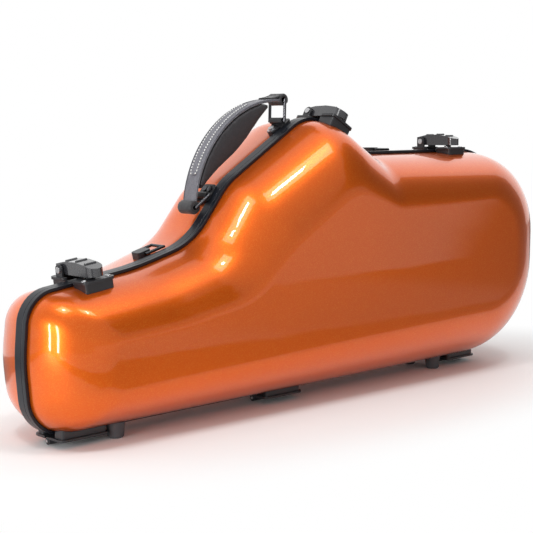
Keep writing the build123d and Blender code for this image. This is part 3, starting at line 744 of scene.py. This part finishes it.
# Thread stitches along a line of points, each a short pinched capsule
def stitchRow(bm, line, outs, gap, length, thick):
    look = 0.2 * mm
    travelled = [0.0]
    for a, b in zip(line, line[1:]):
        travelled.append(travelled[-1] + (b - a).length)
    total = travelled[-1]
    count = max(int(total / (gap * mm)), 1)

    def along(distance):
        distance = min(max(distance, 0.0), total)
        for i in range(len(line) - 1):
            if distance <= travelled[i + 1] or i == len(line) - 2:
                share = (distance - travelled[i]) / max(travelled[i + 1] - travelled[i], 1e-9)
                return line[i].lerp(line[i + 1], share), outs[i].lerp(outs[i + 1], share).normalized()

    for k in range(count):
        middle = (k + 0.5) * total / count
        rings = []
        for share, size, lift in stitchForm:
            point, out = along(middle + share * length * mm)
            ahead, _ = along(middle + share * length * mm + look)
            behind, _ = along(middle + share * length * mm - look)
            side = (ahead - behind).normalized().cross(out)
            ring = []
            for i in range(stitchSides):
                angle = 2 * math.pi * i / stitchSides
                ring.append(point + out * (lift + thick * size * math.sin(angle)) * mm
                            + side * thick * size * math.cos(angle) * mm)
            rings.append(vertsAt(bm, ring))
        bridged(bm, rings)
        cappedEnds(bm, rings)


def threadPiece(name, rows, form, body):
    bm = bmesh.new()
    for line, outs in rows:
        stitchRow(bm, line, outs, form["threadGap"], form["threadLength"], form["threadThick"])
    mesh = meshOf(bm, name)
    smoothShaded(mesh)
    newPiece(name, mesh, thread, body)


def panelThread():
    form = handleForm
    low, high, length = panelRun()
    inset = form["threadInset"]
    steps = 120
    lines = []
    for side in (-1, 1):
        line, outs = [], []
        for i in range(steps + 1):
            along = 0.5 - 0.5 * math.cos(math.pi * i / steps)
            share = (inset + (length - 2 * inset) * along) / length
            turn = low + (high - low) * share
            half = panelHalfAt(share, length)
            reach = max(half - inset, 0.0)
            lift = panelCrown(reach / max(half, form["threadTip"]), half) - form["threadSunk"]
            line.append(arc.on(turn, lift, side * reach))
            outs.append(arc.outward(turn))
        lines.append((line, outs))
    threadPiece("panelThread", lines, form, "handle")


# Leather rolled round a wire bar, with a groove between its layers at each face and a step at its outer end.
# The profile is half of the roll, as distance from its middle and radius
def leatherRoll(name, centre, radius, hole, replaces):
    form = handleForm
    u0, v0 = centre
    half = form["rollHalf"]
    sides = 48
    profile = [(half - 0.6, hole), (half, hole + 0.5), (half, radius * 0.52), (half - 0.5, radius * 0.57),
               (half, radius * 0.63), (half, radius - 1.0), (half - 0.3, radius - 0.35),
               (half - 1.1, radius)]
    stations = profile + [(half * 0.35, radius * 0.985), (-half * 0.35, radius * 0.985)]
    stations += [(-w, r) for w, r in reversed(profile)]
    rings = []
    for w, r in stations:
        ring = []
        for i in range(sides):
            share = i / sides
            reach = r * (1 - form["wrapStep"] * share) if r > radius * form["wrapFrom"] else r
            angle = 2 * math.pi * share - math.radians(form["wrapStart"])
            ring.append(arc.at(u0 + reach * math.cos(angle), v0 + reach * math.sin(angle), w))
        rings.append(ring)
    mesh = ringSkin(name, rings, loop=True)
    smoothShaded(mesh, 50)
    roll = newPiece(name, mesh, finishes["leather"], "handle")
    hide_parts(replaces)


# The strap's end, folded back from the upper bar onto the strap
def foldedTail():
    form = handleForm
    start, reach = form["tailStart"], math.degrees(form["tailLength"] / arc.radius)
    stations = []
    steps = 24
    for i in range(steps + 1):
        share = i / steps
        turn = arc.end + start + (reach - start) * share
        lift = form["tailLift"] * (1 - share) ** 2 + form["tailThick"]
        stations.append((arc.on(turn, lift, 0), sideways, arc.outward(turn)))
    rings = bandRings(stations, form["tailHalf"] * mm, form["tailThick"] * mm, 0.1 * mm, 0.6)
    mesh = ringSkin("foldedTail", rings)
    smoothShaded(mesh, 60)
    tail = newPiece("foldedTail", mesh, finishes["leather"], "handle")


clothForm = {"quality": 6, "tension": 25.0, "bending": 1.5, "frames": 20}


def evaluatedMesh(piece):
    graph = bpy.context.evaluated_depsgraph_get()
    return bpy.data.meshes.new_from_object(piece.evaluated_get(graph))


def remeshed(piece, form):
    remesh = piece.modifiers.new("remesh", "REMESH")
    remesh.mode = "VOXEL"
    remesh.voxel_size = form["voxel"] * mm
    piece.data = evaluatedMesh(piece)
    piece.modifiers.clear()


# Rounds the mesh and draws it in. With a swell, it also grows deeper under the handle's arc, below swellFrom
def softened(mesh, form):
    bm = bmesh.new()
    bm.from_mesh(mesh)
    for _ in range(form["smooth"]):
        bmesh.ops.smooth_vert(bm, verts=bm.verts, factor=0.5,
                              use_axis_x=True, use_axis_y=True, use_axis_z=True)
    bm.normal_update()
    for vert in bm.verts:
        vert.co -= vert.normal * form["shrink"] * mm
    if "swell" in form:
        for vert in bm.verts:
            share, depth = arc.reading(vert.co)
            window = max(math.sin(math.pi * min(max(share, 0.0), 1.0) ** form["lean"]), 0.0)
            extra = form["swell"] * window * max(depth - form["swellFrom"], 0.0)
            vert.co -= arc.outward(arc.start + (arc.end - arc.start) * share) * extra * mm
    bm.to_mesh(mesh)
    bm.free()


# Cloth under pressure, applied to the mesh, with every point's move capped
def blownUp(piece, form):
    start = [vert.co.copy() for vert in piece.data.vertices]
    cloth = piece.modifiers.new("cloth", "CLOTH")
    cloth.settings.use_pressure = True
    cloth.settings.uniform_pressure_force = form["pressure"]
    cloth.settings.quality = clothForm["quality"]
    cloth.settings.effector_weights.gravity = 0.0
    cloth.settings.tension_stiffness = clothForm["tension"]
    cloth.settings.bending_stiffness = clothForm["bending"]
    for number in range(1, clothForm["frames"] + 1):
        scene.frame_set(number)
    blown = evaluatedMesh(piece)
    piece.modifiers.clear()
    for vert, before in zip(blown.vertices, start):
        move = vert.co - before
        if move.length > form["cap"] * mm:
            vert.co = before + move.normalized() * form["cap"] * mm
    piece.data = blown
    scene.frame_set(1)


# Padded pieces start from a copy of their solid
def plumped(name, nodeName, body, material, form):
    piece = bpy.data.objects.new(name, nodes[nodeName].data.copy())
    scene.collection.objects.link(piece)
    piece.data.materials.clear()
    remeshed(piece, form)
    softened(piece.data, form)
    if form["pressure"]:
        blownUp(piece, form)
    piece.data.materials.append(material)
    smoothShaded(piece.data)
    fine = piece.modifiers.new("fine", "SUBSURF")
    fine.levels = fine.render_levels = form["subdivide"]
    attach(piece, body)
    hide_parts(nodeName)


handleStrap()
handlePanel()
panelThread()
leatherRoll("lowerRoll", (0, 0), handleForm["roll"], handleForm["rollHole"], "handle_roll")
leatherRoll("upperRoll", (arc.span, 0), handleForm["flap"], handleForm["flapHole"], "handle_flap")
foldedTail()
# the grip wears the darker copy of the leather, painted shade
plumped("paddedGrip", "handle_grip", "handle", gripLeather,
        {"voxel": 2.4, "smooth": 3, "shrink": 0.5, "pressure": 4.0, "cap": 1.2, "subdivide": 1, "fill": 0.8,
         "swell": 0.38, "swellFrom": 3.0, "lean": 1.25})
print("handle")

plumped("plushCradle", "cradle", "base", finishes["plush"],
        {"voxel": 5.0, "smooth": 3, "shrink": 0.2, "pressure": 0, "subdivide": 0, "fill": 0.9})
plumped("plushLidPadding", "lid_padding", "lid", finishes["plush"],
        {"voxel": 5.5, "smooth": 2, "shrink": 1.5, "pressure": 0, "subdivide": 0, "fill": 0.7})
print("foam")


# Hold strap, in millimetres; ripples is the angle in radians that its small waves run through
holdForm = {"thick": 1.6, "bead": 0.12, "sag": 0.5, "ripple": 0.12, "ripples": 21.0,
            "patchReach": 17.0, "patchInset": 1.2, "patchDepth": 2.5, "patchThick": 1.0, "patchBead": 0.05,
            "boxInset": 2.0, "boxEnd": 2.5, "threadGap": 3.2, "threadLength": 2.1, "threadThick": 0.35}


# The strap itself; what it returns is where the patch goes
def holdStrap():
    form = holdForm
    low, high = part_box("hold_strap")
    half = (high.x - low.x) / 2
    middle = (low.x + high.x) / 2
    stations = []
    steps = 60
    for i in range(steps + 1):
        share = i / steps
        z = low.z + (high.z - low.z) * share
        sag = form["sag"] * math.sin(math.pi * share) + form["ripple"] * math.sin(share * form["ripples"])
        stations.append((Vector((middle, high.y - sag * mm, z)), Vector((1, 0, 0)), Vector((0, 1, 0))))
    mesh = ringSkin("holdBand", bandRings(stations, half, form["thick"] * mm, form["bead"] * mm, 0.5))
    smoothShaded(mesh, 60)
    band = newPiece("holdBand", mesh, finishes["webbing"], "base")
    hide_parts("hold_strap")
    return middle, half, low, high


# Doubled end of the hold strap, sewn down with a box and a cross
def holdPatch(middle, half, low, high):
    form = holdForm
    centre = (low.z + high.z) / 2
    reach, side = form["patchReach"] * mm, half - form["patchInset"] * mm
    face = high.y - form["patchDepth"] * mm
    out = Vector((0, -1, 0))
    width = Vector((1, 0, 0))
    steps = 16
    heights = [centre + reach * (2 * i / steps - 1) for i in range(steps + 1)]
    stations = [(Vector((middle, face, height)), width, out) for height in heights]
    rings = bandRings(stations, side, form["patchThick"] * mm, form["patchBead"] * mm, 0.4)
    mesh = ringSkin("holdPatch", rings)
    smoothShaded(mesh, 60)
    patch = newPiece("holdPatch", mesh, finishes["webbing"], "base")
    x, z = side - form["boxInset"] * mm, reach - form["boxEnd"] * mm
    turns = ((-1, -1), (1, -1), (1, 1), (-1, 1))
    corners = [Vector((middle + a * x, face, centre + b * z)) for a, b in turns]
    pairs = [(0, 1), (1, 2), (2, 3), (3, 0), (0, 2), (1, 3)]
    rows = [([corners[a], corners[b]], [out, out]) for a, b in pairs]
    threadPiece("holdThread", rows, form, "base")


holdPatch(*holdStrap())
print("hold strap")


# Camera at the photograph's place
camera = {"place": (-0.82833, -0.79878, 0.2548), "lens": 79.36, "sensor": 36.0,
          "right": (0.71567, -0.69842, 0.00525), "up": (0.07541, 0.08474, 0.99355),
          "back": (-0.69435, -0.71066, 0.11332)}


def photoCamera():
    data = bpy.data.cameras.new("photoCamera")
    data.lens, data.sensor_width = camera["lens"], camera["sensor"]
    data.clip_start, data.clip_end = 0.01, 50.0
    eye = bpy.data.objects.new("photoCamera", data)
    axes = [Vector(camera[key]).normalized() for key in ("right", "up", "back")]
    turn = Matrix((axes[0], axes[1], axes[2])).transposed().to_4x4()
    eye.matrix_world = Matrix.Translation(camera["place"]) @ turn
    scene.collection.objects.link(eye)
    scene.camera = eye


photoCamera()

# Distances on the floor are in metres: it is dark beyond shade, pale again beyond again (half as much to the
# right of half, not at all beyond ends) and white in the lacquer beyond farWhite, where x over that distance
# stays below farSide. Darks are unlit patches of the room, by direction and the cosine to it
studio = {
    "floorColour": (0.88, 0.88, 0.88), "floorCloud": (0.89, 0.89, 0.89),
    "floorShade": (0.16, 0.16, 0.16), "floorSize": 12.0, "floorWaver": 0.09,
    "litReach": (0.52, 0.22), "lit": (0.35, 1.15), "shade": (0.215, 0.245), "again": (0.385, 0.415),
    "half": (0.05, 0.28), "ends": (0.62, 0.85), "farWhite": (0.86, 0.92), "farSide": (1.12, 1.3),
    "skyBack": 1.10, "skyFront": 0.62, "skyDark": 0.10, "skyFade": (-0.1, 0.6),
    "behind": (0.62, 0.70, 0.35), "roomWaver": 0.16,
    "darks": [{"toward": (0.73, -0.511, 0.454), "from": 0.885, "to": 0.915},
              {"toward": (0.90, -0.42, 0.09), "from": 0.955, "to": 0.97},
              {"toward": (0.171, 0.470, 0.866), "from": 0.945, "to": 0.97}],
    "lamps": {
        "shoulderLamp": {"place": (-0.778, -0.216, 1.516), "aim": (-0.12, -0.04, 0.18), "along": (1, 0, 0),
                         "size": (0.10, 0.10), "power": 2.0},
        "shoulderGlow": {"place": (-0.778, -0.216, 1.526), "aim": (-0.12, -0.04, 0.18), "along": (1, 0, 0),
                         "size": (0.50, 0.50), "power": 3.6},
        "crestLamp": {"place": (0.03, -0.577, 1.61), "aim": (-0.073, -0.049, 0.21), "along": (1, 0, 0),
                      "size": (0.10, 0.10), "power": 2.0},
        "crestGlow": {"place": (0.03, -0.577, 1.62), "aim": (-0.073, -0.049, 0.21), "along": (1, 0, 0),
                      "size": (0.50, 0.40), "power": 3.3},
        "endStripFar": {"place": (-1.50, -0.075, 0.27), "aim": (-0.31, -0.035, 0.09), "along": (0, 0, 1),
                        "size": (0.46, 0.085), "power": 4.2},
        "endStripNear": {"place": (-1.43, -0.40, 0.27), "aim": (-0.31, -0.035, 0.09), "along": (0, 0, 1),
                         "size": (0.46, 0.085), "power": 4.2},
    },
}


# Paper floor with darker bands, which the lacquer shows. The camera sees it white, except near the object,
# where it is lit and keeps the object's shadow
def studioPaper():
    paint = Paint("studioFloor")
    cloud = paint.noise(3.0)
    x, y, _ = paint.apart(paint.place())
    litX, litY = studio["litReach"]
    near = (x / litX) ** 2.0 + (y / litY) ** 2.0
    away = paint.node("ShaderNodeMath", {"operation": "ABSOLUTE"}, [y])
    waver = away + paint.noise(7.0, 3.0, 0.6) * studio["floorWaver"] - studio["floorWaver"] / 2
    paper = paint.mix(cloud * 0.1, studio["floorColour"], studio["floorCloud"])
    stretch = (1.0 - paint.fade(x, studio["half"]) * 0.5) * (1.0 - paint.fade(x, studio["ends"]))
    shade = paint.fade(waver, studio["shade"]) * (1.0 - paint.fade(waver, studio["again"]) * stretch)
    paint.set(Base_Color=paint.mix(shade, paper, studio["floorShade"]), Roughness=0.9)
    rays = paint.tree.nodes.new("ShaderNodeLightPath")
    direct = Wire(paint, rays.outputs["Is Camera Ray"]) + Wire(paint, rays.outputs["Is Transmission Ray"])
    seen = direct * paint.fade(near, studio["lit"])
    horizon = paint.fade(waver, studio["farWhite"]) * (1.0 - paint.fade(x / away, studio["farSide"]))
    seen = seen + Wire(paint, rays.outputs["Is Glossy Ray"]) * horizon
    white = paint.node("ShaderNodeEmission", {}, {"Color": (1, 1, 1), "Strength": 1.0})
    paint.blend(seen, white)
    return paint.material


def stageSet():
    paper = studioPaper()
    bm = bmesh.new()
    bmesh.ops.create_grid(bm, x_segments=8, y_segments=8, size=studio["floorSize"] / 2)
    mesh = bpy.data.meshes.new("studioFloor")
    bm.to_mesh(mesh)
    bm.free()
    mesh.materials.append(paper)
    floor = bpy.data.objects.new("studioFloor", mesh)
    scene.collection.objects.link(floor)


# Bright room with three unlit patches, whose wavering edges show in the lacquer
def roomLight():
    world = bpy.data.worlds.new("studioWorld")
    scene.world = world
    world.use_nodes = True
    paint = Paint("studioRoom", world.node_tree)
    toward = paint.node("ShaderNodeTexCoord", out="Generated")
    waver = paint.noise(2.6, 2.0, 0.45, toward) * studio["roomWaver"] - studio["roomWaver"] / 2
    level = None
    for dark in studio["darks"]:
        near = paint.facing(toward, dark["toward"]) + waver
        shade = paint.fade(near, (dark["from"], dark["to"]), (1.0, 0.0))
        level = shade if level is None else level * shade
    behind = paint.facing(toward, studio["behind"])
    sky = paint.fade(behind, studio["skyFade"], (studio["skyFront"], studio["skyBack"]))
    strength = level * (sky - studio["skyDark"]) + studio["skyDark"]
    room = paint.node("ShaderNodeBackground", {}, {"Color": (1, 1, 1), "Strength": strength})
    seen = paint.node("ShaderNodeBackground", {}, {"Color": (1, 1, 1), "Strength": 1.0})
    rays = paint.tree.nodes.new("ShaderNodeLightPath")
    direct = Wire(paint, rays.outputs["Is Camera Ray"]) + Wire(paint, rays.outputs["Is Transmission Ray"])
    both = paint.node("ShaderNodeMixShader", {}, [direct, room, seen])
    paint.tree.links.new(both.socket, paint.output.inputs[0])


# A lamp's first size runs in the direction called along, the other across it
def studioLamps():
    for name, lamp in studio["lamps"].items():
        data = bpy.data.lights.new(name, "AREA")
        data.shape = "RECTANGLE"
        data.size, data.size_y = lamp["size"]
        data.energy = lamp["power"]
        light = bpy.data.objects.new(name, data)
        place, aim = Vector(lamp["place"]), Vector(lamp["aim"])
        back = (place - aim).normalized()
        up = back.cross(Vector(lamp["along"])).normalized()
        turn = Matrix((up.cross(back), up, back)).transposed().to_4x4()
        light.matrix_world = Matrix.Translation(place) @ turn
        light.visible_camera = False
        scene.collection.objects.link(light)


stageSet()
roomLight()
studioLamps()
scene.view_settings.view_transform = "Standard"
print("stage, lamps and camera")
